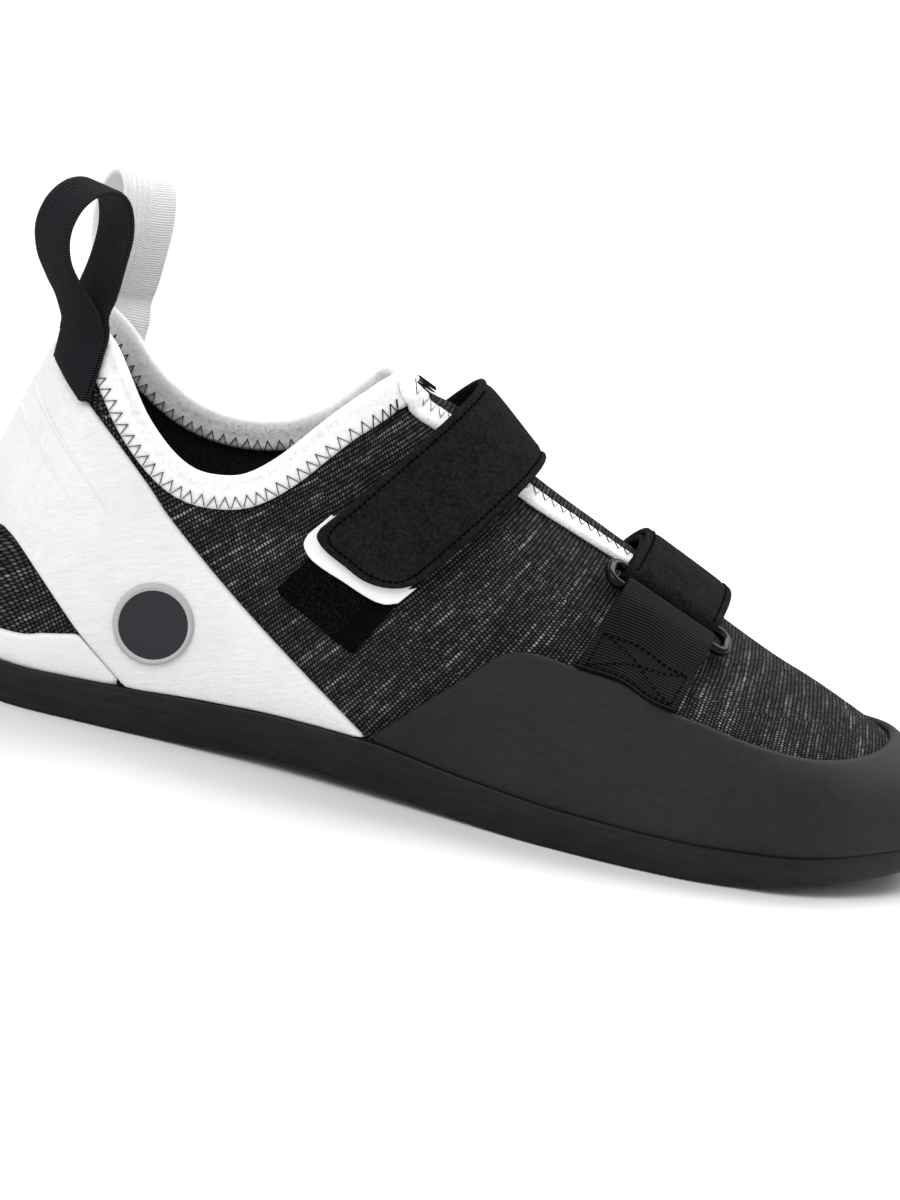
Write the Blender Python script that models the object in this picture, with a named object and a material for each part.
"""Climbing shoe, right foot: toe towards +X, outer side towards -Y, +Z up, metres."""
import math

import bmesh
import bpy
from mathutils import Vector
from mathutils.bvhtree import BVHTree

# main sizes
LENGTH = 0.270
BALL_WIDTH = 0.0965
INSTEP_HEIGHT = 0.084
HEEL_HEIGHT = 0.101

# thicknesses and gaps
WALL = 0.0020
GAP = 0.0003
RUBBER = 0.0022
STRIP_RUBBER = 0.0018
SOLE_OVERHANG = 0.0026
SOLE_BEVEL = 0.0012
INSOLE_THICKNESS = 0.0030
LASTING_MARGIN = 0.013
FLAP_STEP = 0.0012
BINDING_THICKNESS = 0.0014
BINDING_WIDTH = 0.0070
THROAT_BINDING_WIDTH = 0.0078
THROAT_BINDING_RISE = 0.0017
RIB_RISE = 0.0006
BADGE_RADIUS = 0.0105
BADGE_THICKNESS = 0.0008
STRAP_THICKNESS = 0.0019
TAB_THICKNESS = 0.0009
PATCH_THICKNESS = 0.0014
TOP_STRAP_WIDTH = 0.0264
LOW_STRAP_WIDTH = 0.0278
WEBBING_THICKNESS = 0.0012
WEBBING_WIDTH = 0.0272
RING_LENGTH = 0.0372
RING_HEIGHT = 0.0110
RING_WIRE = 0.0028
LOOP_WIDTH = 0.0150
LOOP_THICKNESS = 0.0013
LOOP_HEIGHT = 0.0320
LOOP_DEPTH = 0.0195
COLLAR_RISE = 0.0016

# the tables below are in millimetres for these reference sizes
REF_LENGTH = 270.0
REF_BALL = 96.5
REF_INSTEP = 84.0
REF_HEEL = 101.0

# the last, one row per section
SECTION_COLUMNS = ("x", "bottom", "wide", "top", "outer", "inner", "ridge", "round", "taper", "arch")
SECTIONS = (
    (2.5, 8.5, 24.0, 118.0, -31.5, 31.5, 0.0, 7.0, 0.20, 0.0),
    (12.0, 6.8, 24.0, 118.0, -31.5, 31.5, 0.0, 7.0, 0.20, 0.0),
    (32.0, 6.3, 24.0, 118.0, -31.5, 31.5, 0.0, 7.0, 0.20, 0.0),
    (60.0, 6.6, 25.0, 118.0, -31.5, 30.0, 0.0, 7.0, 0.19, 0.6),
    (80.0, 8.2, 26.0, 118.0, -32.5, 28.0, 0.0, 6.5, 0.17, 3.0),
    (90.0, 9.0, 27.0, 117.0, -33.3, 27.0, 0.0, 5.2, 0.16, 4.2),
    (98.0, 9.4, 27.5, 109.0, -34.2, 26.4, 0.0, 3.6, 0.14, 4.8),
    (104.0, 9.5, 28.0, 101.7, -35.0, 26.2, 0.0, 2.7, 0.12, 5.0),
    (118.0, 9.0, 27.0, 96.3, -37.5, 27.0, 0.5, 2.35, 0.07, 4.4),
    (142.0, 7.3, 25.0, 83.0, -41.5, 30.5, 1.5, 2.2, 0.02, 2.2),
    (165.0, 6.0, 23.0, 72.6, -45.2, 37.0, 3.5, 2.1, 0.0, 0.6),
    (185.0, 5.4, 21.5, 63.6, -46.2, 42.3, 6.0, 2.1, 0.0, 0.0),
    (200.0, 5.6, 21.0, 56.5, -45.2, 44.0, 9.0, 2.1, 0.0, 0.0),
    (222.0, 7.0, 20.0, 46.9, -39.5, 44.0, 14.0, 2.15, 0.0, 0.0),
    (240.0, 7.9, 19.0, 41.7, -33.4, 43.6, 16.5, 2.2, 0.0, 0.0),
    (255.0, 7.0, 18.0, 39.4, -29.0, 43.6, 17.5, 2.2, 0.0, 0.0),
    (266.7, 5.0, 17.0, 38.5, -29.0, 44.0, 18.0, 2.2, 0.0, 0.0),
)
HEEL_CAP = 30.0
TOE_CAP_START = 222.0
TOE_TIP = (266.7, 18.0, 17.0)
CORNER_POWER = 6.5

# the back of the heel: how far it leans forward at each height
BACK_COLUMNS = ("z", "forward")
BACK = (
    (5.0, 4.5),
    (10.0, 2.2),
    (18.0, 0.5),
    (27.0, 0.0),
    (45.0, 2.2),
    (66.4, 7.2),
    (80.3, 11.0),
    (89.7, 13.7),
    (101.0, 13.6),
    (118.0, 13.0),
)

# the sole: underside, and the top line of its side wall
SOLE_COLUMNS = ("x", "under", "side_top")
SOLE = (
    (-1.0, 2.4, 10.2),
    (5.0, 1.0, 10.2),
    (13.0, 0.0, 10.1),
    (50.0, 0.0, 11.3),
    (58.0, 0.3, 11.8),
    (75.0, 1.6, 13.2),
    (96.0, 3.3, 14.5),
    (116.0, 3.1, 14.8),
    (140.0, 1.5, 12.4),
    (158.0, 0.3, 10.9),
    (166.0, 0.0, 10.3),
    (202.0, 0.0, 9.4),
    (212.0, 0.4, 9.5),
    (230.0, 2.0, 10.0),
    (247.0, 4.3, 11.6),
    (258.0, 6.0, 12.8),
    (271.0, 9.0, 14.0),
)

# collar edge, outer and inner side
COLLAR_COLUMNS = ("x_outer", "z_outer", "x_inner", "z_inner")
COLLAR = (
    (-40.0, 101.5, -40.0, 101.5),
    (14.0, 101.0, 14.0, 101.0),
    (22.0, 99.3, 22.0, 97.8),
    (29.0, 96.0, 29.5, 92.5),
    (35.8, 87.8, 35.5, 87.0),
    (42.4, 79.0, 42.0, 82.2),
    (50.4, 71.9, 50.0, 78.2),
    (57.5, 68.5, 57.5, 76.4),
    (64.5, 68.4, 64.5, 76.2),
    (71.5, 70.7, 71.5, 77.2),
    (78.8, 77.2, 78.8, 79.4),
    (86.6, 87.2, 86.6, 84.0),
    (91.2, 92.9, 91.2, 88.5),
    (97.4, 98.8, 97.4, 95.5),
    (103.6, 102.8, 103.6, 102.3),
    (125.0, 112.0, 125.0, 112.0),
)

# upper border of the toe rand
TOE_BORDER = (
    (117.2, 15.4),
    (129.0, 28.3),
    (137.1, 36.4),
    (142.6, 42.4),
    (147.7, 45.8),
    (155.3, 46.6),
    (163.6, 45.6),
    (176.9, 44.2),
    (187.8, 40.4),
    (199.0, 38.4),
    (210.3, 35.9),
    (223.3, 34.0),
    (236.0, 33.7),
    (248.2, 34.8),
    (256.0, 37.0),
    (295.0, 52.0),
)

# heel rand: front edge from the arch up to the back, then the lower edge forward again
HEEL_FRONT = (
    (116.6, 15.2),
    (94.7, 28.4),
    (75.5, 41.0),
    (55.9, 55.7),
    (46.8, 64.0),
    (29.4, 78.6),
    (14.2, 90.0),
    (-20.0, 113.0),
)
HEEL_UNDER = (
    (-20.0, 43.2),
    (11.0, 43.2),
    (14.6, 42.9),
    (18.5, 40.9),
    (25.7, 34.6),
    (38.2, 22.9),
    (52.8, 12.0),
)
STRIP_TOP = (
    (37.7, 22.0),
    (29.6, 20.2),
    (20.1, 18.1),
    (-20.0, 16.6),
)
RIBS = (
    ((11.0, 81.5), (39.6, 54.0)),
    ((8.6, 75.0), (30.2, 54.6)),
)
BADGE_CENTRE = (56.8, 29.6)

# the lapped throat edge in plan
THROAT = (
    (96.0, -14.0),
    (106.0, -15.5),
    (114.0, -16.0),
    (140.0, -15.5),
    (155.0, -13.6),
    (171.5, -10.5),
    (188.0, -5.5),
    (206.0, 1.0),
)

# top strap: lean, middle of its top edge, its outer end across the width (mm along, mm across)
TOP_LEAN = math.radians(37.2)
TOP_POINT = (134.4, 97.4)
TOP_STRAP_END = (
    (-13.2, 51.5),
    (-12.2, 53.6),
    (-9.0, 54.2),
    (-3.0, 53.3),
    (3.0, 51.8),
    (8.0, 48.8),
    (11.6, 44.6),
    (13.2, 40.0),
)
TOP_TAB_END = (
    (-13.9, 55.0),
    (-12.4, 57.9),
    (-8.0, 58.6),
    (0.0, 56.2),
    (8.0, 53.4),
    (11.8, 51.2),
    (13.8, 48.2),
)
LOOP_PATCH = ((85.1, 45.4), (108.1, 34.4), (122.0, 61.5), (101.5, 70.5))

# lower strap, its ring and the ring's webbing
LOW_LEAN = math.radians(30.0)
LOW_POINT = (187.2, 69.8)
RING_POINT = (180.4, 57.6)
RING_SLOPE = math.radians(-22.5)
WEBBING_LEAN = math.radians(20.0)

# a strap's path is measured from a point inside the foot, this share of its height down
TRACK_DEPTH = 0.535

# pull loops: foot of the loop in plan, direction it stands out, lowest sewn height
OUTER_LOOP = {"x": 28.0, "direction": (-0.74, -0.67), "foot": 80.5, "neck": 103.0}
INNER_LOOP = {"x": 24.2, "direction": (-0.45, 0.893), "foot": 81.5, "neck": 100.0}
LOOP_PATH = (
    (0.06, 0.00),
    (-0.06, 0.16),
    (-0.16, 0.42),
    (-0.17, 0.68),
    (-0.04, 0.90),
    (0.20, 1.00),
    (0.50, 0.97),
    (0.74, 0.83),
    (0.83, 0.62),
    (0.72, 0.40),
    (0.48, 0.20),
    (0.27, 0.05),
)

MM = 0.001
COLLAR_LEVELS = (-90.0, -27.0, 27.0, 90.0)
AROUND = 11

shoe = bpy.data.collections.new("climbing_shoe")
cutters = bpy.data.collections.new("cutters")


def clear_scene():
    for item in list(bpy.data.objects):
        bpy.data.objects.remove(item, do_unlink=True)
    bpy.context.scene.collection.children.link(shoe)
    bpy.context.scene.collection.children.link(cutters)


def smooth(t):
    t = min(1.0, max(0.0, t))
    return t * t * (3.0 - 2.0 * t)


def column(rows, column_index, x):
    """Smooth value of one column of a table at x, flat beyond its ends."""
    xs = [row[0] for row in rows]
    ys = [row[column_index] for row in rows]
    if x <= xs[0]:
        return ys[0]
    if x >= xs[-1]:
        return ys[-1]
    k = 0
    while x > xs[k + 1]:
        k += 1
    slopes = [(ys[i + 1] - ys[i]) / (xs[i + 1] - xs[i]) for i in range(len(xs) - 1)]

    def tangent(i):
        if i == 0:
            return slopes[0]
        if i == len(xs) - 1:
            return slopes[-1]
        before = slopes[i - 1]
        after = slopes[i]
        if before * after <= 0.0:
            return 0.0
        return 2.0 * before * after / (before + after)

    width = xs[k + 1] - xs[k]
    t = (x - xs[k]) / width
    t2 = t * t
    t3 = t2 * t
    return (
        ys[k] * (2.0 * t3 - 3.0 * t2 + 1.0)
        + tangent(k) * width * (t3 - 2.0 * t2 + t)
        + ys[k + 1] * (3.0 * t2 - 2.0 * t3)
        + tangent(k + 1) * width * (t3 - t2)
    )


def section_value(name, x):
    return column(SECTIONS, SECTION_COLUMNS.index(name), x)


def real(x, y, z):
    """A point in table millimetres, in metres for the stated sizes."""
    heel = HEEL_HEIGHT / MM / REF_HEEL
    instep = INSTEP_HEIGHT / MM / REF_INSTEP
    rise = heel + (instep - heel) * smooth((x - 60.0) / 80.0)
    low = smooth((z - 14.0) / 22.0)
    return Vector((
        x * MM * (LENGTH / MM / REF_LENGTH),
        y * MM * (BALL_WIDTH / MM / REF_BALL),
        z * MM * (1.0 + (rise - 1.0) * low),
    ))


def section_ring(x):
    """One section of the last: points from the bottom centre round the outer side and back."""
    bottom = section_value("bottom", x)
    wide = section_value("wide", x)
    top = section_value("top", x)
    ridge = section_value("ridge", x)
    power = section_value("round", x)
    taper = section_value("taper", x)
    arch = section_value("arch", x)
    sides = []
    for name in ("outer", "inner"):
        reach = section_value(name, x) - ridge
        curve = []
        for k in range(61):
            angle = math.pi / 2.0 * (k / 60.0)
            across = math.sin(angle) ** (2.0 / CORNER_POWER)
            down = math.cos(angle) ** (2.0 / CORNER_POWER)
            curve.append((reach * across, wide - (wide - bottom) * down))
        for k in range(1, 61):
            angle = math.pi / 2.0 * (k / 60.0)
            across = max(0.0, math.cos(angle)) ** (2.0 / power)
            up = math.sin(angle) ** (2.0 / power)
            z = wide + (top - wide) * up
            across *= 1.0 - taper * smooth((z - wide) / 72.0)
            curve.append((reach * across, z))
        if name == "inner":
            lifted = []
            for y, z in curve:
                share = smooth(y / reach) * max(0.0, 1.0 - (z - bottom) / 45.0)
                lifted.append((y, z + arch * share))
            curve = lifted
        weights = [0.0]
        for k in range(1, len(curve)):
            dy = curve[k][0] - curve[k - 1][0]
            dz = curve[k][1] - curve[k - 1][1]
            step = math.hypot(dy, dz)
            turn = 0.0
            if k + 1 < len(curve):
                ey = curve[k + 1][0] - curve[k][0]
                ez = curve[k + 1][1] - curve[k][1]
                if step > 1e-6 and math.hypot(ey, ez) > 1e-6:
                    dot = (dy * ey + dz * ez) / (step * math.hypot(ey, ez))
                    turn = math.acos(max(-1.0, min(1.0, dot)))
            weights.append(weights[-1] + step + 9.0 * turn)
        side = []
        k = 0
        for j in range(AROUND + 1):
            goal = weights[-1] * j / AROUND
            while k < len(weights) - 2 and weights[k + 1] < goal:
                k += 1
            span = max(1e-9, weights[k + 1] - weights[k])
            t = min(1.0, (goal - weights[k]) / span)
            side.append((
                curve[k][0] + (curve[k + 1][0] - curve[k][0]) * t,
                curve[k][1] + (curve[k + 1][1] - curve[k][1]) * t,
            ))
        sides.append(side)
    outer, inner = sides
    return ridge, outer + list(reversed(inner[1:-1]))


def last_stations():
    stations = []
    for k in range(5):
        angle = math.pi / 2.0 * k / 5.0
        stations.append((2.5 + HEEL_CAP * (1.0 - math.cos(angle)), math.sin(angle), 1.0))
    start = 2.5 + HEEL_CAP
    count = 13
    for k in range(count):
        stations.append((start + (TOE_CAP_START - start) * k / count, 1.0, 1.0))
    for k in range(7):
        angle = math.pi / 2.0 * k / 6.0
        reach = TOE_TIP[0] - TOE_CAP_START
        stations.append((TOE_CAP_START + reach * math.sin(angle), 1.0, math.cos(angle)))
    return stations


def last_grid():
    """Rows of points of the last's surface, heel to toe, in metres."""
    rows = []
    for x, heel, toe in last_stations():
        ridge, ring = section_ring(x)
        row = []
        for y, z in ring:
            y = ridge + y * heel
            y = TOE_TIP[1] + (y - TOE_TIP[1]) * toe if toe < 1.0 else y
            z = TOE_TIP[2] + (z - TOE_TIP[2]) * toe if toe < 1.0 else z
            lean = column(BACK, 1, z) * max(0.0, 1.0 - (x - 2.5) / 80.0) ** 2
            row.append(real(x + lean, y, z))
        rows.append(row)
    return rows


def last_bmesh():
    grid = last_grid()
    bm = bmesh.new()
    made = [[bm.verts.new(p) for p in row] for row in grid]
    around = len(grid[0])
    for i in range(len(grid) - 1):
        for j in range(around):
            k = (j + 1) % around
            a, b, c, d = made[i][j], made[i + 1][j], made[i + 1][k], made[i][k]
            if i > 0:
                bm.faces.new((a, b, c, d))
            elif (j % AROUND) * 2 < AROUND:
                bm.faces.new((a, b, c))
                bm.faces.new((a, c, d))
            else:
                bm.faces.new((a, b, d))
                bm.faces.new((b, c, d))
    bmesh.ops.remove_doubles(bm, verts=bm.verts, dist=0.00002)
    bmesh.ops.triangulate(bm, faces=bm.faces)
    bmesh.ops.recalc_face_normals(bm, faces=bm.faces)
    bm.normal_update()
    return bm


def new_object(name, bm, home):
    mesh = bpy.data.meshes.new(name)
    bm.to_mesh(mesh)
    bm.free()
    item = bpy.data.objects.new(name, mesh)
    home.objects.link(item)
    if home is cutters:
        item.hide_render = True
        item.display_type = "WIRE"
    return item


def last_solid(name, offset, home=None):
    """The last grown (or shrunk) by an offset along its normals; offset is a size or a function."""
    bm = last_bmesh()
    moves = []
    for vert in bm.verts:
        amount = offset(vert.co) if callable(offset) else offset
        moves.append(vert.normal * amount * min(1.35, vert.calc_shell_factor()))
    for vert, move in zip(bm.verts, moves):
        vert.co += move
    bmesh.ops.recalc_face_normals(bm, faces=bm.faces)
    return new_object(name, bm, home or cutters)


def side_prism(name, outer, inner=None, level=30.0, levels=(-90.0, -44.0, -33.0, 0.0, 22.0, 36.0, 90.0)):
    """A block seen from the side: polygons in (x, z) millimetres, ruled from side to side."""
    if inner is None:
        inner = outer
        levels = (-90.0, 90.0)
    bm = bmesh.new()
    rings = []
    for y in levels:
        t = (y + level) / (2.0 * level)
        ring = []
        for a, b in zip(outer, inner):
            x = a[0] + (b[0] - a[0]) * t
            z = a[1] + (b[1] - a[1]) * t
            ring.append(bm.verts.new(real(x, y, z)))
        rings.append(ring)
    count = len(outer)
    bm.faces.new(rings[0])
    bm.faces.new(list(reversed(rings[-1])))
    for near, far in zip(rings, rings[1:]):
        for k in range(count):
            n = (k + 1) % count
            bm.faces.new((near[n], near[k], far[k], far[n]))
    bmesh.ops.triangulate(bm, faces=bm.faces)
    bmesh.ops.recalc_face_normals(bm, faces=bm.faces)
    return new_object(name, bm, cutters)


def plan_prism(name, points, low, high):
    """A block seen from above: polygon in (x, y) millimetres between two heights."""
    bm = bmesh.new()
    bottom = [bm.verts.new(real(x, y, low)) for x, y in points]
    top = [bm.verts.new(real(x, y, high)) for x, y in points]
    bm.faces.new(bottom)
    bm.faces.new(list(reversed(top)))
    for k in range(len(points)):
        n = (k + 1) % len(points)
        bm.faces.new((bottom[n], bottom[k], top[k], top[n]))
    bmesh.ops.triangulate(bm, faces=bm.faces)
    bmesh.ops.recalc_face_normals(bm, faces=bm.faces)
    return new_object(name, bm, cutters)


def boolean(item, cutter, operation):
    step = item.modifiers.new(operation.lower() + "_" + cutter.name, "BOOLEAN")
    step.operation = operation
    step.solver = "EXACT"
    step.object = cutter
    return item


def shell_piece(name, inside, outside, region, home=None):
    """A skin between two growths of the last, kept only inside a region."""
    item = last_solid(name, outside, home or shoe)
    boolean(item, last_solid(name + "_inside", inside), "DIFFERENCE")
    boolean(item, region, "INTERSECT")
    return item


def shifted(points, distance):
    """A line in (x, z) moved sideways; positive goes to the left of its direction."""
    result = []
    for k, (x, z) in enumerate(points):
        before = points[max(0, k - 1)]
        after = points[min(len(points) - 1, k + 1)]
        dx = after[0] - before[0]
        dz = after[1] - before[1]
        size = math.hypot(dx, dz)
        result.append((x - dz / size * distance, z + dx / size * distance))
    return result


def arch_lift(x):
    return section_value("arch", x)


def sole_line(x_from, x_to, count, lift=0.0):
    """The top line of the sole's side wall, outer and inner side, between two stations."""
    outer = []
    inner = []
    for k in range(count):
        x = x_from + (x_to - x_from) * k / (count - 1)
        z = column(SOLE, 2, x) + lift
        outer.append((x, z))
        inner.append((x, z + arch_lift(x)))
    return outer, inner


def with_arch(points):
    """The inner side's copy of a border: raised with the arch where it is low."""
    result = []
    for x, z in points:
        share = max(0.0, 1.0 - max(0.0, z - 17.0) / 30.0)
        result.append((x, z + arch_lift(x) * min(1.0, share)))
    return result


def collar_lines():
    outer = [(row[0], row[1]) for row in COLLAR]
    inner = [(row[2], row[3]) for row in COLLAR]
    return outer, inner


def throat_y(x):
    return column(THROAT, 1, x)


def flap_offset(co):
    """Extra wall of the lapped panel: full at the throat edge, fading to the inner side."""
    x = co.x / MM * REF_LENGTH / (LENGTH / MM)
    y = co.y / MM * REF_BALL / (BALL_WIDTH / MM)
    d = y - throat_y(x)
    fade = 1.0 - smooth((d - 10.0) / 24.0)
    fade *= smooth((x - 112.4) / 7.0)
    fade *= 1.0 - smooth((x - 184.0) / 18.0)
    return FLAP_STEP * fade


def make_upper():
    upper = last_solid("upper", 0.0, shoe)
    flap = last_solid("flap", flap_offset)
    boolean(flap, last_solid("flap_inside", -0.0012), "DIFFERENCE")
    lap = 0.86 * THROAT_BINDING_WIDTH / MM + GAP / MM
    line = [(x, throat_y(x) + lap) for x in (114.6, 121.0, 130.0, 140.0, 150.0, 160.0, 171.5, 180.0, 190.0)]
    far = [(x, y + 20.0) for x, y in reversed(line)]
    boolean(flap, plan_prism("flap_region", line + far, 50.0, 130.0), "INTERSECT")
    boolean(upper, last_solid("upper_inside", -WALL), "DIFFERENCE")
    boolean(upper, flap, "UNION")
    outer, inner = collar_lines()
    sky = [(125.0, 190.0), (-40.0, 190.0)]
    boolean(upper, side_prism("collar_cut", outer + sky, inner + sky, levels=COLLAR_LEVELS), "DIFFERENCE")
    hole = bottom_outline(LASTING_MARGIN / MM, 20.0, 246.0)
    boolean(upper, plan_prism("underside_cut", hole, -10.0, 19.0), "DIFFERENCE")
    return upper


def bottom_outline(inset, x_from, x_to, count=13):
    """The last's plan outline moved inwards, as one ring of points."""
    outer = []
    inner = []
    for k in range(count):
        x = x_from + (x_to - x_from) * k / (count - 1)
        heel = min(1.0, math.sqrt(max(0.0, 1.0 - (1.0 - min(1.0, (x - 2.5) / HEEL_CAP)) ** 2)))
        low = section_value("outer", x) * heel
        high = section_value("inner", x) * heel
        if x > TOE_CAP_START:
            share = (x - TOE_CAP_START) / (TOE_TIP[0] - TOE_CAP_START)
            close = math.sqrt(max(0.0, 1.0 - share * share))
            low = TOE_TIP[1] + (low - TOE_TIP[1]) * close
            high = TOE_TIP[1] + (high - TOE_TIP[1]) * close
        outer.append((x, low + inset))
        inner.append((x, high - inset))
    return outer + list(reversed(inner))


def make_insole():
    insole = last_solid("insole", -WALL - 1.8 * GAP, shoe)
    outer = []
    inner = []
    for k in range(15):
        x = -10.0 + 290.0 * k / 14.0
        z = section_value("bottom", x) + (WALL + GAP + INSOLE_THICKNESS) / MM
        outer.append((x, z))
        inner.append((x, z + 0.9 * arch_lift(x)))
    deep = [(280.0, -20.0), (-10.0, -20.0)]
    level = side_prism("insole_level", outer + deep, inner + deep)
    boolean(insole, level, "INTERSECT")
    plug = last_solid("insole_plug", 0.0)
    hole = bottom_outline((LASTING_MARGIN + 0.0007) / MM, 20.8, 245.2)
    boolean(plug, plan_prism("insole_plug_region", hole, -10.0, 19.0), "INTERSECT")
    boolean(plug, side_prism("insole_plug_level", outer + deep, inner + deep), "INTERSECT")
    boolean(insole, plug, "UNION")
    return insole


def make_outsole():
    """A lofted block with the last's own outline, hollowed by the last."""
    stations = []
    for k in range(7):
        angle = math.pi / 2.0 * k / 7.0
        stations.append((2.5 + HEEL_CAP * (1.0 - math.cos(angle)), math.sin(angle), 1.0))
    for x in (32.5, 41.0, 50.0, 58.0, 66.0, 75.0, 85.0, 96.0, 106.0, 116.0, 128.0, 140.0,
              149.0, 158.0, 166.0, 178.0, 190.0, 202.0, 212.0):
        stations.append((x, 1.0, 1.0))
    for k in range(9):
        angle = math.pi / 2.0 * k / 8.0
        stations.append((TOE_CAP_START + (TOE_TIP[0] - TOE_CAP_START) * math.sin(angle),
                         1.0, math.cos(angle)))
    outer = []
    inner = []
    for x, heel, toe in stations:
        low = section_value("outer", x) * heel
        high = section_value("inner", x) * heel
        if toe < 1.0:
            low = TOE_TIP[1] + (low - TOE_TIP[1]) * toe
            high = TOE_TIP[1] + (high - TOE_TIP[1]) * toe
        outer.append((x, low))
        inner.append((x, high))
    ring = outer + list(reversed(inner[1:-1]))

    def grown(distance):
        result = []
        count = len(ring)
        for k in range(count):
            before = ring[k - 1]
            after = ring[(k + 1) % count]
            dx = after[0] - before[0]
            dy = after[1] - before[1]
            size = math.hypot(dx, dy)
            result.append((ring[k][0] + dy / size * distance, ring[k][1] - dx / size * distance))
        return result

    # the ring runs heel, outer side, toe, inner side, so its left is inwards
    wide = grown(SOLE_OVERHANG / MM)
    mid = grown(SOLE_OVERHANG / MM - 0.3)
    narrow = grown((SOLE_OVERHANG - SOLE_BEVEL) / MM)
    count = len(ring)
    half = len(outer)

    def pairs(line):
        low = line[:half]
        high = [line[0]] + list(reversed(line[half:])) + [line[half - 1]]
        return low, high

    def under(x, share):
        return column(SOLE, 1, x) + arch_lift(x) * smooth(share)

    def crown(x, y):
        return column(SOLE, 2, x) + arch_lift(x) * (y + 30.0) / 60.0

    bm = bmesh.new()
    across = 5
    sheets = []
    for line, height in ((narrow, under), (wide, None), (mid, crown)):
        low, high = pairs(line)
        sheet = []
        for a, b in zip(low, high):
            row = []
            for k in range(across):
                share = k / (across - 1)
                x = a[0] + (b[0] - a[0]) * share
                y = a[1] + (b[1] - a[1]) * share
                if height is None:
                    z = under(x, share) + SOLE_BEVEL / MM
                elif height is crown:
                    z = crown(x, y)
                else:
                    z = under(x, share)
                row.append((x, y, z))
            sheet.append(row)
        sheets.append(sheet)
    bottom = [[bm.verts.new(real(*p)) for p in row] for row in sheets[0]]
    top = [[bm.verts.new(real(*p)) for p in row] for row in sheets[2]]
    edge = [[bm.verts.new(real(*row[0])), bm.verts.new(real(*row[-1]))] for row in sheets[1]]
    for i in range(half - 1):
        for k in range(across - 1):
            bm.faces.new((bottom[i][k], bottom[i][k + 1], bottom[i + 1][k + 1], bottom[i + 1][k]))
            bm.faces.new((top[i][k], top[i + 1][k], top[i + 1][k + 1], top[i][k + 1]))
        for side, k in ((0, 0), (1, across - 1)):
            bm.faces.new((bottom[i][k], bottom[i + 1][k], edge[i + 1][side], edge[i][side]))
            bm.faces.new((edge[i][side], edge[i + 1][side], top[i + 1][k], top[i][k]))
    bmesh.ops.remove_doubles(bm, verts=bm.verts, dist=0.00002)
    bmesh.ops.triangulate(bm, faces=bm.faces)
    bmesh.ops.recalc_face_normals(bm, faces=bm.faces)
    outsole = new_object("outsole", bm, shoe)
    boolean(outsole, last_solid("outsole_hollow", GAP), "DIFFERENCE")
    return outsole


def make_collar_binding():
    outer, inner = collar_lines()
    high_outer = shifted(outer, COLLAR_RISE / MM)
    high_inner = shifted(inner, COLLAR_RISE / MM)
    low_outer = shifted(outer, -BINDING_WIDTH / MM)
    low_inner = shifted(inner, -BINDING_WIDTH / MM)
    band = side_prism("collar_band", high_outer + low_outer[::-1], high_inner + low_inner[::-1],
                      levels=COLLAR_LEVELS)
    binding = last_solid("collar_binding", GAP + BINDING_THICKNESS, shoe)
    boolean(binding, last_solid("collar_deep", -WALL - GAP - BINDING_THICKNESS), "DIFFERENCE")
    boolean(binding, band, "INTERSECT")
    slot = last_solid("collar_slot", GAP)
    boolean(slot, last_solid("collar_slot_inside", -WALL - GAP), "DIFFERENCE")
    rise_outer = shifted(outer, 0.3)
    rise_inner = shifted(inner, 0.3)
    ground = [(125.0, 20.0), (-40.0, 20.0)]
    region = side_prism("collar_slot_region", rise_outer + ground, rise_inner + ground,
                        levels=COLLAR_LEVELS)
    boolean(slot, region, "INTERSECT")
    boolean(binding, slot, "DIFFERENCE")
    return binding


def make_throat_binding():
    width = THROAT_BINDING_WIDTH / MM
    stations = (113.6, 122.0, 131.0, 140.0, 149.0, 158.0, 166.0, 174.0, 182.0, 190.0)
    near = [(x, throat_y(x)) for x in stations]
    far = [(x, throat_y(x) + width * 0.86) for x in reversed(stations)]
    region = plan_prism("throat_region", near + far, 50.0, 130.0)
    return shell_piece("throat_binding", GAP, GAP + THROAT_BINDING_RISE, region)


def make_toe_rand():
    low_outer, low_inner = sole_line(295.0, 117.2, 21, 0.3)
    border_outer = list(TOE_BORDER)
    border_inner = with_arch(TOE_BORDER)
    region = side_prism("toe_rand_region", border_outer + low_outer[:-1],
                        border_inner + low_inner[:-1])
    return shell_piece("toe_rand", GAP, GAP + RUBBER, region)


def make_heel_rand():
    low_outer, low_inner = sole_line(52.8, 116.6, 8, 0.3)
    outer = list(HEEL_UNDER) + low_outer[1:-1] + list(HEEL_FRONT)
    inner = with_arch(HEEL_UNDER) + low_inner[1:-1] + with_arch(HEEL_FRONT)
    region = side_prism("heel_rand_region", outer, inner)
    rand = last_solid("heel_rand", GAP + RUBBER, shoe)
    ribs = last_solid("heel_ribs", GAP + RUBBER + RIB_RISE)
    bars = None
    for k, (a, b) in enumerate(RIBS):
        dx = b[0] - a[0]
        dz = b[1] - a[1]
        size = math.hypot(dx, dz)
        nx = -dz / size
        nz = dx / size
        back = (a[0] - 14.0 * dx / size, a[1] - 14.0 * dz / size)
        shape = [
            (back[0] + nx, back[1] + nz),
            (back[0] - nx, back[1] - nz),
            (b[0] - 0.25 * nx, b[1] - 0.25 * nz),
            (b[0] + 0.25 * nx, b[1] + 0.25 * nz),
        ]
        bar = side_prism("rib_%d" % (k + 1), shape)
        if bars is None:
            bars = bar
        else:
            boolean(bars, bar, "UNION")
    boolean(ribs, bars, "INTERSECT")
    boolean(rand, ribs, "UNION")
    boolean(rand, last_solid("heel_rand_inside", GAP), "DIFFERENCE")
    boolean(rand, region, "INTERSECT")
    return rand


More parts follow.
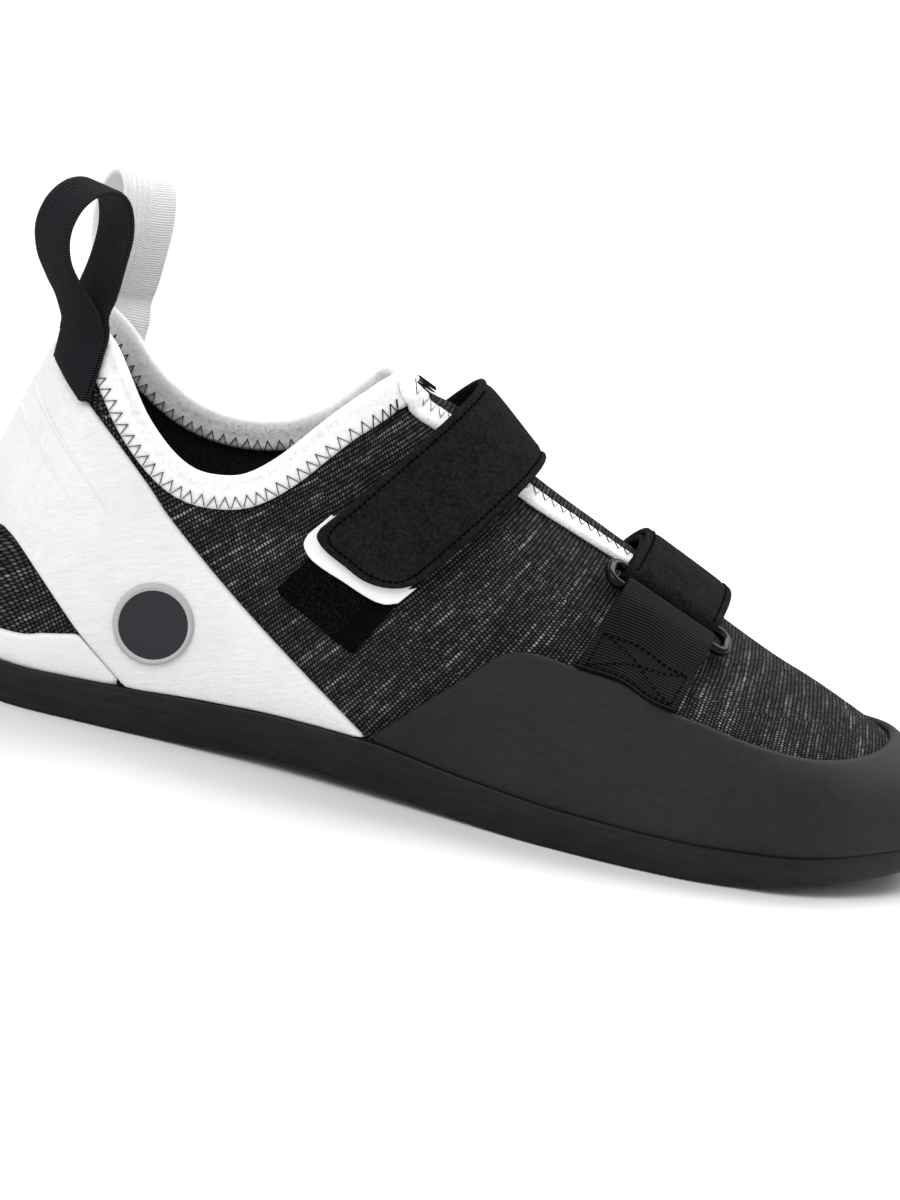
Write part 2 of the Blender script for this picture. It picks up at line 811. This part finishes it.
def make_heel_strip():
    low_outer, low_inner = sole_line(-20.0, 51.8, 8, 0.3)
    outer = list(STRIP_TOP) + low_outer
    inner = with_arch(STRIP_TOP) + low_inner
    region = side_prism("heel_strip_region", outer, inner)
    return shell_piece("heel_strip", GAP, GAP + STRIP_RUBBER, region)


def make_badge():
    points = []
    for k in range(24):
        angle = 2.0 * math.pi * k / 24
        points.append((BADGE_CENTRE[0] + BADGE_RADIUS / MM * math.cos(angle),
                       BADGE_CENTRE[1] + BADGE_RADIUS / MM * math.sin(angle)))
    bm = bmesh.new()
    rings = []
    for y in (-90.0, -8.0):
        rings.append([bm.verts.new(real(x, y, z)) for x, z in points])
    bm.faces.new(rings[0])
    bm.faces.new(list(reversed(rings[1])))
    for k in range(24):
        n = (k + 1) % 24
        bm.faces.new((rings[0][n], rings[0][k], rings[1][k], rings[1][n]))
    bmesh.ops.recalc_face_normals(bm, faces=bm.faces)
    region = new_object("badge_region", bm, cutters)
    base = GAP + RUBBER + GAP
    return shell_piece("badge", base, base + BADGE_THICKNESS, region)


def make_loop_patch():
    corners = list(LOOP_PATCH)
    region = one_side_prism("loop_patch_top_region", corners, -90.0, -6.0)
    shell_piece("loop_patch_top", GAP, GAP + PATCH_THICKNESS, region)


def one_side_prism(name, points, y_from, y_to):
    bm = bmesh.new()
    near = [bm.verts.new(real(x, y_from, z)) for x, z in points]
    far = [bm.verts.new(real(x, y_to, z)) for x, z in points]
    bm.faces.new(near)
    bm.faces.new(list(reversed(far)))
    for k in range(len(points)):
        n = (k + 1) % len(points)
        bm.faces.new((near[n], near[k], far[k], far[n]))
    bmesh.ops.triangulate(bm, faces=bm.faces)
    bmesh.ops.recalc_face_normals(bm, faces=bm.faces)
    return new_object(name, bm, cutters)


class Track:
    """The last's surface cut by a leaning plane, measured from its ridge to both sides."""

    def __init__(self, tree, middle, lean, across):
        self.up = Vector((math.sin(lean), 0.0, math.cos(lean)))
        self.across = Vector((math.cos(lean), 0.0, -math.sin(lean)))
        origin = middle - self.up * (TRACK_DEPTH * middle.z) + self.across * across
        origin.y = 0.002
        self.points = []
        for k in range(-60, 61):
            angle = math.radians(2.0 * k)
            ray = self.up * math.cos(angle) + Vector((0.0, -math.sin(angle), 0.0))
            hit = tree.ray_cast(origin, ray, 0.3)
            if hit[0] is not None:
                self.points.append(hit[0].copy())
        for _ in range(3):
            eased = [self.points[0]]
            for k in range(1, len(self.points) - 1):
                mean = (self.points[k - 1] + self.points[k + 1]) * 0.5
                eased.append(self.points[k] * 0.5 + mean * 0.5)
            eased.append(self.points[-1])
            self.points = eased
        self.length = [0.0]
        for k in range(1, len(self.points)):
            self.length.append(self.length[-1] + (self.points[k] - self.points[k - 1]).length)
        best = max(range(len(self.points)), key=lambda k: self.points[k].dot(self.up))
        zero = self.length[best]
        self.length = [s - zero for s in self.length]
        self.middle = middle

    def at(self, s, height):
        """Point at arc length s (outer side positive) and height above the surface."""
        k = 0
        last = len(self.length) - 2
        while k < last and self.length[k + 1] < s:
            k += 1
        span = self.length[k + 1] - self.length[k]
        t = (s - self.length[k]) / span
        point = self.points[k].lerp(self.points[k + 1], t)
        a = self.points[max(0, k - 2)]
        b = self.points[min(len(self.points) - 1, k + 3)]
        along = (b - a).normalized()
        out = self.across.cross(along)
        if out.dot(point - (self.middle - self.up * (TRACK_DEPTH * self.middle.z))) < 0.0:
            out = -out
        return point + out.normalized() * height

    def find(self, measure, goal):
        """Arc length on the outer side where a measure of the point first passes a goal."""
        for k in range(1, len(self.points)):
            if self.length[k] <= 0.0:
                continue
            a = measure(self.points[k - 1])
            b = measure(self.points[k])
            if (a - goal) * (b - goal) <= 0.0 and a != b:
                return self.length[k - 1] + (self.length[k] - self.length[k - 1]) * (goal - a) / (b - a)
        return self.length[-1]

    def find_inner(self, height):
        """Arc length on the inner side where the surface comes down to a height."""
        for k in range(len(self.points) - 1, 0, -1):
            if self.length[k] >= 0.0:
                continue
            a = self.points[k].z
            b = self.points[k - 1].z
            if a >= height > b:
                return self.length[k] + (self.length[k - 1] - self.length[k]) * (a - height) / (a - b)
        return self.length[0]


def ribbon(name, rows, thickness, home=None):
    """A flat band from rows of centre points (one row per place across), made solid."""
    count = len(rows)
    steps = len(rows[0])
    bm = bmesh.new()
    sheets = []
    for sign in (-0.5, 0.5):
        sheet = []
        for r in range(count):
            line = []
            for k in range(steps):
                along = rows[r][min(steps - 1, k + 1)] - rows[r][max(0, k - 1)]
                wide = rows[min(count - 1, r + 1)][k] - rows[max(0, r - 1)][k]
                normal = wide.cross(along).normalized()
                line.append(bm.verts.new(rows[r][k] + normal * thickness * sign))
            sheet.append(line)
        sheets.append(sheet)
    low, high = sheets
    for r in range(count - 1):
        for k in range(steps - 1):
            bm.faces.new((low[r][k], low[r][k + 1], low[r + 1][k + 1], low[r + 1][k]))
            bm.faces.new((high[r][k], high[r + 1][k], high[r + 1][k + 1], high[r][k + 1]))
    for r in (0, count - 1):
        for k in range(steps - 1):
            bm.faces.new((low[r][k], high[r][k], high[r][k + 1], low[r][k + 1]))
    for k in (0, steps - 1):
        for r in range(count - 1):
            bm.faces.new((low[r][k], low[r + 1][k], high[r + 1][k], high[r][k]))
    bmesh.ops.triangulate(bm, faces=bm.faces)
    bmesh.ops.recalc_face_normals(bm, faces=bm.faces)
    return new_object(name, bm, home or shoe)


def spaced(points, steps):
    """The same polyline with evenly spaced points."""
    lengths = [0.0]
    for k in range(1, len(points)):
        lengths.append(lengths[-1] + (points[k] - points[k - 1]).length)
    result = []
    k = 0
    for n in range(steps):
        goal = lengths[-1] * n / (steps - 1)
        while k < len(points) - 2 and lengths[k + 1] < goal:
            k += 1
        span = max(1e-9, lengths[k + 1] - lengths[k])
        result.append(points[k].lerp(points[k + 1], min(1.0, (goal - lengths[k]) / span)))
    return result


def down_the_strap(lean, middle):
    """Distance down from the strap's top, seen from the side, in millimetres."""
    down = Vector((-math.sin(lean), 0.0, -math.cos(lean)))

    def measure(p):
        return (p - middle).dot(down) / MM

    return measure


def make_top_strap(tree):
    middle = real(TOP_POINT[0], 0.0, TOP_POINT[1])
    measure = down_the_strap(TOP_LEAN, middle)
    scale = TOP_STRAP_WIDTH / MM / 26.4
    rows = []
    for across, end in TOP_STRAP_END:
        track = Track(tree, middle, TOP_LEAN, across * scale * MM)
        s_end = track.find(measure, end)
        s_start = track.find_inner(real(100.0, 0.0, 45.0).z)
        share = (across + 13.2) / 26.4
        bulge = (8.6 - 4.0 * share) * MM
        points = []
        for k in range(61):
            s = s_start + (s_end - s_start) * k / 60
            low = (0.45 + 3.15 * smooth((s / MM + 6.0) / 28.0)) * MM
            wave = math.exp(-((s + 0.002) / 0.021) ** 2)
            height = low + bulge * wave + STRAP_THICKNESS / 2.0
            points.append(track.at(s, height))
        rows.append(spaced(points, 16))
    ribbon("strap_top", rows, STRAP_THICKNESS)
    rows = []
    for across, end in TOP_TAB_END:
        track = Track(tree, middle, TOP_LEAN, across * scale * MM)
        s_end = track.find(measure, end)
        s_start = track.find(measure, 31.0)
        points = []
        for k in range(31):
            s = s_start + (s_end - s_start) * k / 30
            points.append(track.at(s, (0.45 + 1.75) * MM + TAB_THICKNESS / 2.0))
        rows.append(spaced(points, 6))
    ribbon("strap_top_tab", rows, TAB_THICKNESS)


def low_rise(s, s_bar):
    """How far the lower strap stands off over the throat."""
    rise = 3.3 * MM * math.exp(-((s / MM - 8.0) / 28.0) ** 2)
    return rise * (1.0 - smooth((s - s_bar + 0.0085) / 0.007))


def make_lower_strap(tree):
    along = Vector((math.cos(RING_SLOPE), 0.0, math.sin(RING_SLOPE)))
    places = (-13.9, -7.0, 0.0, 7.0, 13.9)
    scale = LOW_STRAP_WIDTH / MM / 27.8
    thick = STRAP_THICKNESS
    wire = RING_WIRE / 2.0
    half_ring = (RING_HEIGHT - RING_WIRE) / 2.0
    rows = []
    spots = []
    for across in places:
        track = Track(tree, real(LOW_POINT[0], 0.0, LOW_POINT[1]), LOW_LEAN, across * scale * MM)
        middle = real(RING_POINT[0], 0.0, RING_POINT[1]) + Vector((0.0, 0.0, half_ring))
        down = Vector((-math.sin(-RING_SLOPE), 0.0, -math.cos(RING_SLOPE)))

        def measure(p):
            return (p - middle).dot(down) / MM

        s_bar = track.find(measure, 0.0)
        spots.append((track, s_bar))
    low_height = 0.00045 + thick + 0.0003 + wire
    bar_a = spots[0][0].at(spots[0][1], low_height)
    bar_b = spots[-1][0].at(spots[-1][1], low_height)
    for (track, s_bar), across in zip(spots, places):
        share = (across + 13.9) / 27.8
        s_low = track.find_inner(real(180.0, 0.0, 48.0).z)
        s_high = track.find_inner(real(180.0, 0.0, 52.0).z)
        centre = bar_a.lerp(bar_b, share)
        radius = wire + 0.0003 + thick / 2.0
        base = track.at(s_bar, 0.0)
        out = (track.at(s_bar, 0.01) - base).normalized()
        onward = (track.at(s_bar + 0.002, 0.0) - track.at(s_bar - 0.002, 0.0)).normalized()
        points = []
        for k in range(41):
            s = s_low + (s_bar - 0.004 - s_low) * k / 40
            rise = low_rise(s, s_bar)
            points.append(track.at(s, 0.45 * MM + rise + thick / 2.0))
        for k in range(9):
            angle = math.pi * (k / 8.0)
            points.append(centre + onward * radius * math.sin(angle) - out * radius * math.cos(angle))
        top_height = low_height + radius
        for k in range(41):
            s = s_bar - 0.004 + (s_high - s_bar + 0.004) * k / 40
            blend = smooth((s_bar - s) / 0.020)
            calm = 0.45 * MM + thick + 0.0004 + thick / 2.0
            rise = low_rise(s, s_bar) + 0.15 * MM
            height = top_height + (calm - top_height) * blend + rise * blend
            points.append(track.at(s, height))
        rows.append(points)
    thinned = []
    for points in rows:
        lower = spaced(points[:41], 10)
        fold = points[41:50]
        upper = spaced(points[50:], 10)
        thinned.append(lower + fold + upper)
    ribbon("strap_lower", thinned, thick)
    return bar_a, bar_b, spots


def tidy_frame(bar_a, bar_b, spots):
    """The ring's own directions: along the bar, down the shoe and out of it."""
    along = (bar_b - bar_a).normalized()
    track, s_bar = spots[len(spots) // 2]
    out = (track.at(s_bar, 0.01) - track.at(s_bar, 0.0)).normalized()
    out = (out - along * out.dot(along)).normalized()
    down = out.cross(along).normalized()
    if down.z > 0.0:
        down = -down
    return along, down, out


def make_ring(bar_a, bar_b, spots, tree):
    along, down, out = tidy_frame(bar_a, bar_b, spots)
    gap_height = RING_HEIGHT - RING_WIRE
    upper_bar = (bar_a + bar_b) * 0.5
    lower_bar = upper_bar + down * gap_height
    surface, normal, _, _ = tree.find_nearest(lower_bar)
    height = (lower_bar - surface).dot(normal)
    wanted = 0.00065 + WEBBING_THICKNESS + 0.0006 + RING_WIRE / 2.0
    lower_bar += normal * (wanted - height)
    down = (lower_bar - upper_bar).normalized()
    out = along.cross(down).normalized()
    if out.y > 0.0:
        out = -out
    centre = (upper_bar + lower_bar) * 0.5
    half_length = (RING_LENGTH - RING_WIRE) / 2.0
    half_height = (lower_bar - upper_bar).length / 2.0
    corner = half_height * 0.70
    path = []
    for cx, cz, start in ((1, 1, 0.0), (-1, 1, 90.0), (-1, -1, 180.0), (1, -1, 270.0)):
        for k in range(5):
            angle = math.radians(start + 22.5 * k)
            u = cx * (half_length - corner) + corner * math.cos(angle)
            v = cz * (half_height - corner) + corner * math.sin(angle)
            path.append(centre + along * u + down * v)
    curve = bpy.data.curves.new("ring_path", "CURVE")
    curve.dimensions = "3D"
    spline = curve.splines.new("POLY")
    spline.points.add(len(path) - 1)
    for point, place in zip(spline.points, path):
        point.co = (place.x, place.y, place.z, 1.0)
    spline.use_cyclic_u = True
    curve.bevel_depth = RING_WIRE / 2.0
    curve.bevel_resolution = 1
    curve.use_fill_caps = True
    source = bpy.data.objects.new("ring_path", curve)
    cutters.objects.link(source)
    view = bpy.context.evaluated_depsgraph_get()
    mesh = bpy.data.meshes.new_from_object(source.evaluated_get(view))
    bpy.data.objects.remove(source, do_unlink=True)
    bm = bmesh.new()
    bm.from_mesh(mesh)
    bmesh.ops.remove_doubles(bm, verts=bm.verts, dist=0.00002)
    bmesh.ops.recalc_face_normals(bm, faces=bm.faces)
    new_object("ring", bm, shoe)
    return lower_bar, along


def make_webbing(tree, lower_bar, along):
    places = (-13.6, -4.5, 4.5, 13.6)
    scale = WEBBING_WIDTH / MM / 27.2
    thick = WEBBING_THICKNESS
    wire = RING_WIRE / 2.0
    radius = wire + 0.0006 + thick / 2.0
    middle = Vector((lower_bar.x, 0.0, lower_bar.z))
    rows = []
    for across in places:
        track = Track(tree, middle, WEBBING_LEAN, across * scale * MM)
        centre = lower_bar + along * (across * scale * MM)
        best = None
        for k in range(200):
            s = 0.002 + 0.0004 * k
            if s > track.length[-1]:
                break
            gap = (track.at(s, 0.0) - centre).length
            if best is None or gap < best[0]:
                best = (gap, s)
        s_bar = best[1]
        x_end = track.at(s_bar + 0.011, 0.0).x / MM * REF_LENGTH / (LENGTH / MM)
        border = real(x_end, 0.0, column(TOE_BORDER, 1, x_end) + 1.6).z

        def measure(p):
            return p.z

        s_end = track.find(measure, border)
        base = track.at(s_bar, 0.0)
        out = (track.at(s_bar, 0.01) - base).normalized()
        onward = (track.at(s_bar + 0.002, 0.0) - track.at(s_bar - 0.002, 0.0)).normalized()
        points = []
        low = 0.00060 + thick / 2.0
        for k in range(7):
            s = s_end + (s_bar + 0.0035 - s_end) * k / 6
            points.append(track.at(s, low))
        for k in range(1, 8):
            angle = math.pi * (k / 8.0)
            points.append(centre - onward * radius * math.sin(angle) - out * radius * math.cos(angle))
        high = low + thick + 0.00025
        for k in range(7):
            s = s_bar + 0.0035 + (s_end - s_bar - 0.0035) * k / 6
            blend = smooth((k + 0.6) / 4.0)
            top_height = (centre - base).dot(out) + radius
            points.append(track.at(s, top_height + (high - top_height) * blend))
        rows.append(points)
    ribbon("ring_webbing", rows, thick)


def heel_front_height(x):
    """Height of the heel rand's front edge at x, in millimetres."""
    line = sorted(HEEL_FRONT)
    for a, b in zip(line, line[1:]):
        if a[0] <= x <= b[0]:
            return a[1] + (b[1] - a[1]) * (x - a[0]) / (b[0] - a[0])
    return line[0][1]


def loop_curve(points, closed_steps):
    """A smooth line through control points."""
    result = []
    count = len(points)
    for k in range(count - 1):
        p0 = points[max(0, k - 1)]
        p1 = points[k]
        p2 = points[k + 1]
        p3 = points[min(count - 1, k + 2)]
        for n in range(closed_steps):
            t = n / closed_steps
            t2 = t * t
            t3 = t2 * t
            result.append((p1 * 2.0 + (p2 - p0) * t + (p0 * 2.0 - p1 * 5.0 + p2 * 4.0 - p3) * t2
                           + (p1 * 3.0 - p0 - p2 * 3.0 + p3) * t3) * 0.5)
    result.append(points[-1])
    return result


def make_pull_loop(name, tree, spec, side):
    direction = Vector((spec["direction"][0], spec["direction"][1], 0.0)).normalized()
    wide = Vector((-direction.y, direction.x, 0.0)) * side
    foot_x = spec["x"]
    inside = real(foot_x + 14.0, side * 4.0, 90.0)
    rows = []
    for across in (-7.5, -2.5, 2.5, 7.5):
        shift = wide * (across / 15.0 * LOOP_WIDTH)
        base = []
        start = Vector((inside.x, inside.y, real(foot_x, 0.0, 86.0).z)) + shift
        seam_x = tree.ray_cast(start, direction, 0.2)[0].x / MM * REF_LENGTH / (LENGTH / MM)
        foot = max(spec["foot"], heel_front_height(seam_x) + 2.2)
        neck = spec["neck"] - 5.0
        heights = (foot, foot + (neck - foot) / 3.0, foot + (neck - foot) * 2.0 / 3.0, neck)
        for z in heights:
            height = real(foot_x, 0.0, z).z
            start = Vector((inside.x, inside.y, height)) + shift
            hit = tree.ray_cast(start, direction, 0.2)
            base.append(hit[0])
        neck_z = real(foot_x, 0.0, spec["neck"]).z
        skin = GAP + BINDING_THICKNESS + 0.0010 + LOOP_THICKNESS / 2.0
        centre_base = tree.ray_cast(Vector((inside.x, inside.y, base[-1].z)), direction, 0.2)[0]
        lead = base[-1] - centre_base
        edge = centre_base + direction * (skin + 0.0002)
        points = []
        for spot in base:
            points.append(spot + direction * skin)
        for p, h in LOOP_PATH:
            share = max(0.0, 1.0 - h * 3.0)
            place = edge + direction * (p * LOOP_DEPTH) + shift
            place.z = neck_z + h * LOOP_HEIGHT
            place += (lead - shift) * share
            points.append(place)
        second = LOOP_THICKNESS + 0.00035
        for spot in reversed(base):
            points.append(spot + direction * (skin + second))
        rows.append(spaced(loop_curve(points, 4), 31))
    ribbon(name, rows, LOOP_THICKNESS)


def material(name, colour, roughness, metallic=0.0):
    made = bpy.data.materials.new(name)
    made.use_nodes = True
    shader = made.node_tree.nodes["Principled BSDF"]
    shader.inputs["Base Color"].default_value = (*colour, 1.0)
    shader.inputs["Roughness"].default_value = roughness
    shader.inputs["Metallic"].default_value = metallic
    made.diffuse_color = (*colour, 1.0)
    return made


MATERIALS = {
    "outsole": ("black_rubber", (0.012, 0.011, 0.012), 0.55, 0.0),
    "insole": ("footbed", (0.03, 0.03, 0.032), 0.9, 0.0),
    "upper": ("charcoal_knit", (0.022, 0.021, 0.023), 0.9, 0.0),
    "collar_binding": ("white_felt", (0.80, 0.79, 0.78), 0.95, 0.0),
    "throat_binding": ("white_microfibre", (0.80, 0.79, 0.78), 0.85, 0.0),
    "toe_rand": ("dark_rubber", (0.024, 0.024, 0.026), 0.62, 0.0),
    "heel_rand": ("white_rubber", (0.83, 0.83, 0.83), 0.5, 0.0),
    "heel_strip": ("white_strip_rubber", (0.83, 0.82, 0.81), 0.55, 0.0),
    "badge": ("dark_badge", (0.02, 0.021, 0.026), 0.45, 0.0),
    "strap_top": ("black_microfibre", (0.012, 0.011, 0.012), 0.92, 0.0),
    "strap_top_tab": ("white_backing", (0.85, 0.85, 0.86), 0.4, 0.0),
    "loop_patch_top": ("black_loop_pile", (0.006, 0.006, 0.006), 1.0, 0.0),
    "strap_lower": ("black_strap", (0.012, 0.011, 0.012), 0.92, 0.0),
    "ring": ("black_coated_metal", (0.01, 0.01, 0.011), 0.18, 0.9),
    "ring_webbing": ("black_webbing", (0.011, 0.010, 0.011), 0.75, 0.0),
    "pull_loop_outer": ("black_grosgrain", (0.012, 0.011, 0.014), 0.7, 0.0),
    "pull_loop_inner": ("white_grosgrain", (0.85, 0.85, 0.86), 0.7, 0.0),
}


def centre_all():
    """Move every mesh so that the shoe stands on z = 0 with its box centred over the origin."""
    view = bpy.context.evaluated_depsgraph_get()
    low = Vector((1e9, 1e9, 1e9))
    high = Vector((-1e9, -1e9, -1e9))
    for item in shoe.objects:
        mesh = item.evaluated_get(view).to_mesh()
        for vert in mesh.vertices:
            for axis in range(3):
                low[axis] = min(low[axis], vert.co[axis])
                high[axis] = max(high[axis], vert.co[axis])
        item.evaluated_get(view).to_mesh_clear()
    move = Vector((-(low.x + high.x) / 2.0, -(low.y + high.y) / 2.0, -low.z))
    for item in list(shoe.objects) + list(cutters.objects):
        for vert in item.data.vertices:
            vert.co += move
    return move, low, high


def main():
    clear_scene()
    make_upper()
    make_outsole()
    make_insole()
    make_collar_binding()
    make_throat_binding()
    make_toe_rand()
    make_heel_rand()
    make_heel_strip()
    make_badge()
    make_loop_patch()
    bm = last_bmesh()
    tree = BVHTree.FromBMesh(bm)
    make_top_strap(tree)
    bar_a, bar_b, spots = make_lower_strap(tree)
    lower_bar, along = make_ring(bar_a, bar_b, spots, tree)
    make_webbing(tree, lower_bar, along)
    make_pull_loop("pull_loop_outer", tree, OUTER_LOOP, -1.0)
    make_pull_loop("pull_loop_inner", tree, INNER_LOOP, 1.0)
    bm.free()
    for item in shoe.objects:
        name, colour, roughness, metallic = MATERIALS[item.name]
        item.data.materials.append(material(name, colour, roughness, metallic))
    move, low, high = centre_all()
    print("moved by", tuple(round(v, 5) for v in move))
    print("size", tuple(round(high[k] - low[k], 5) for k in range(3)))


main()
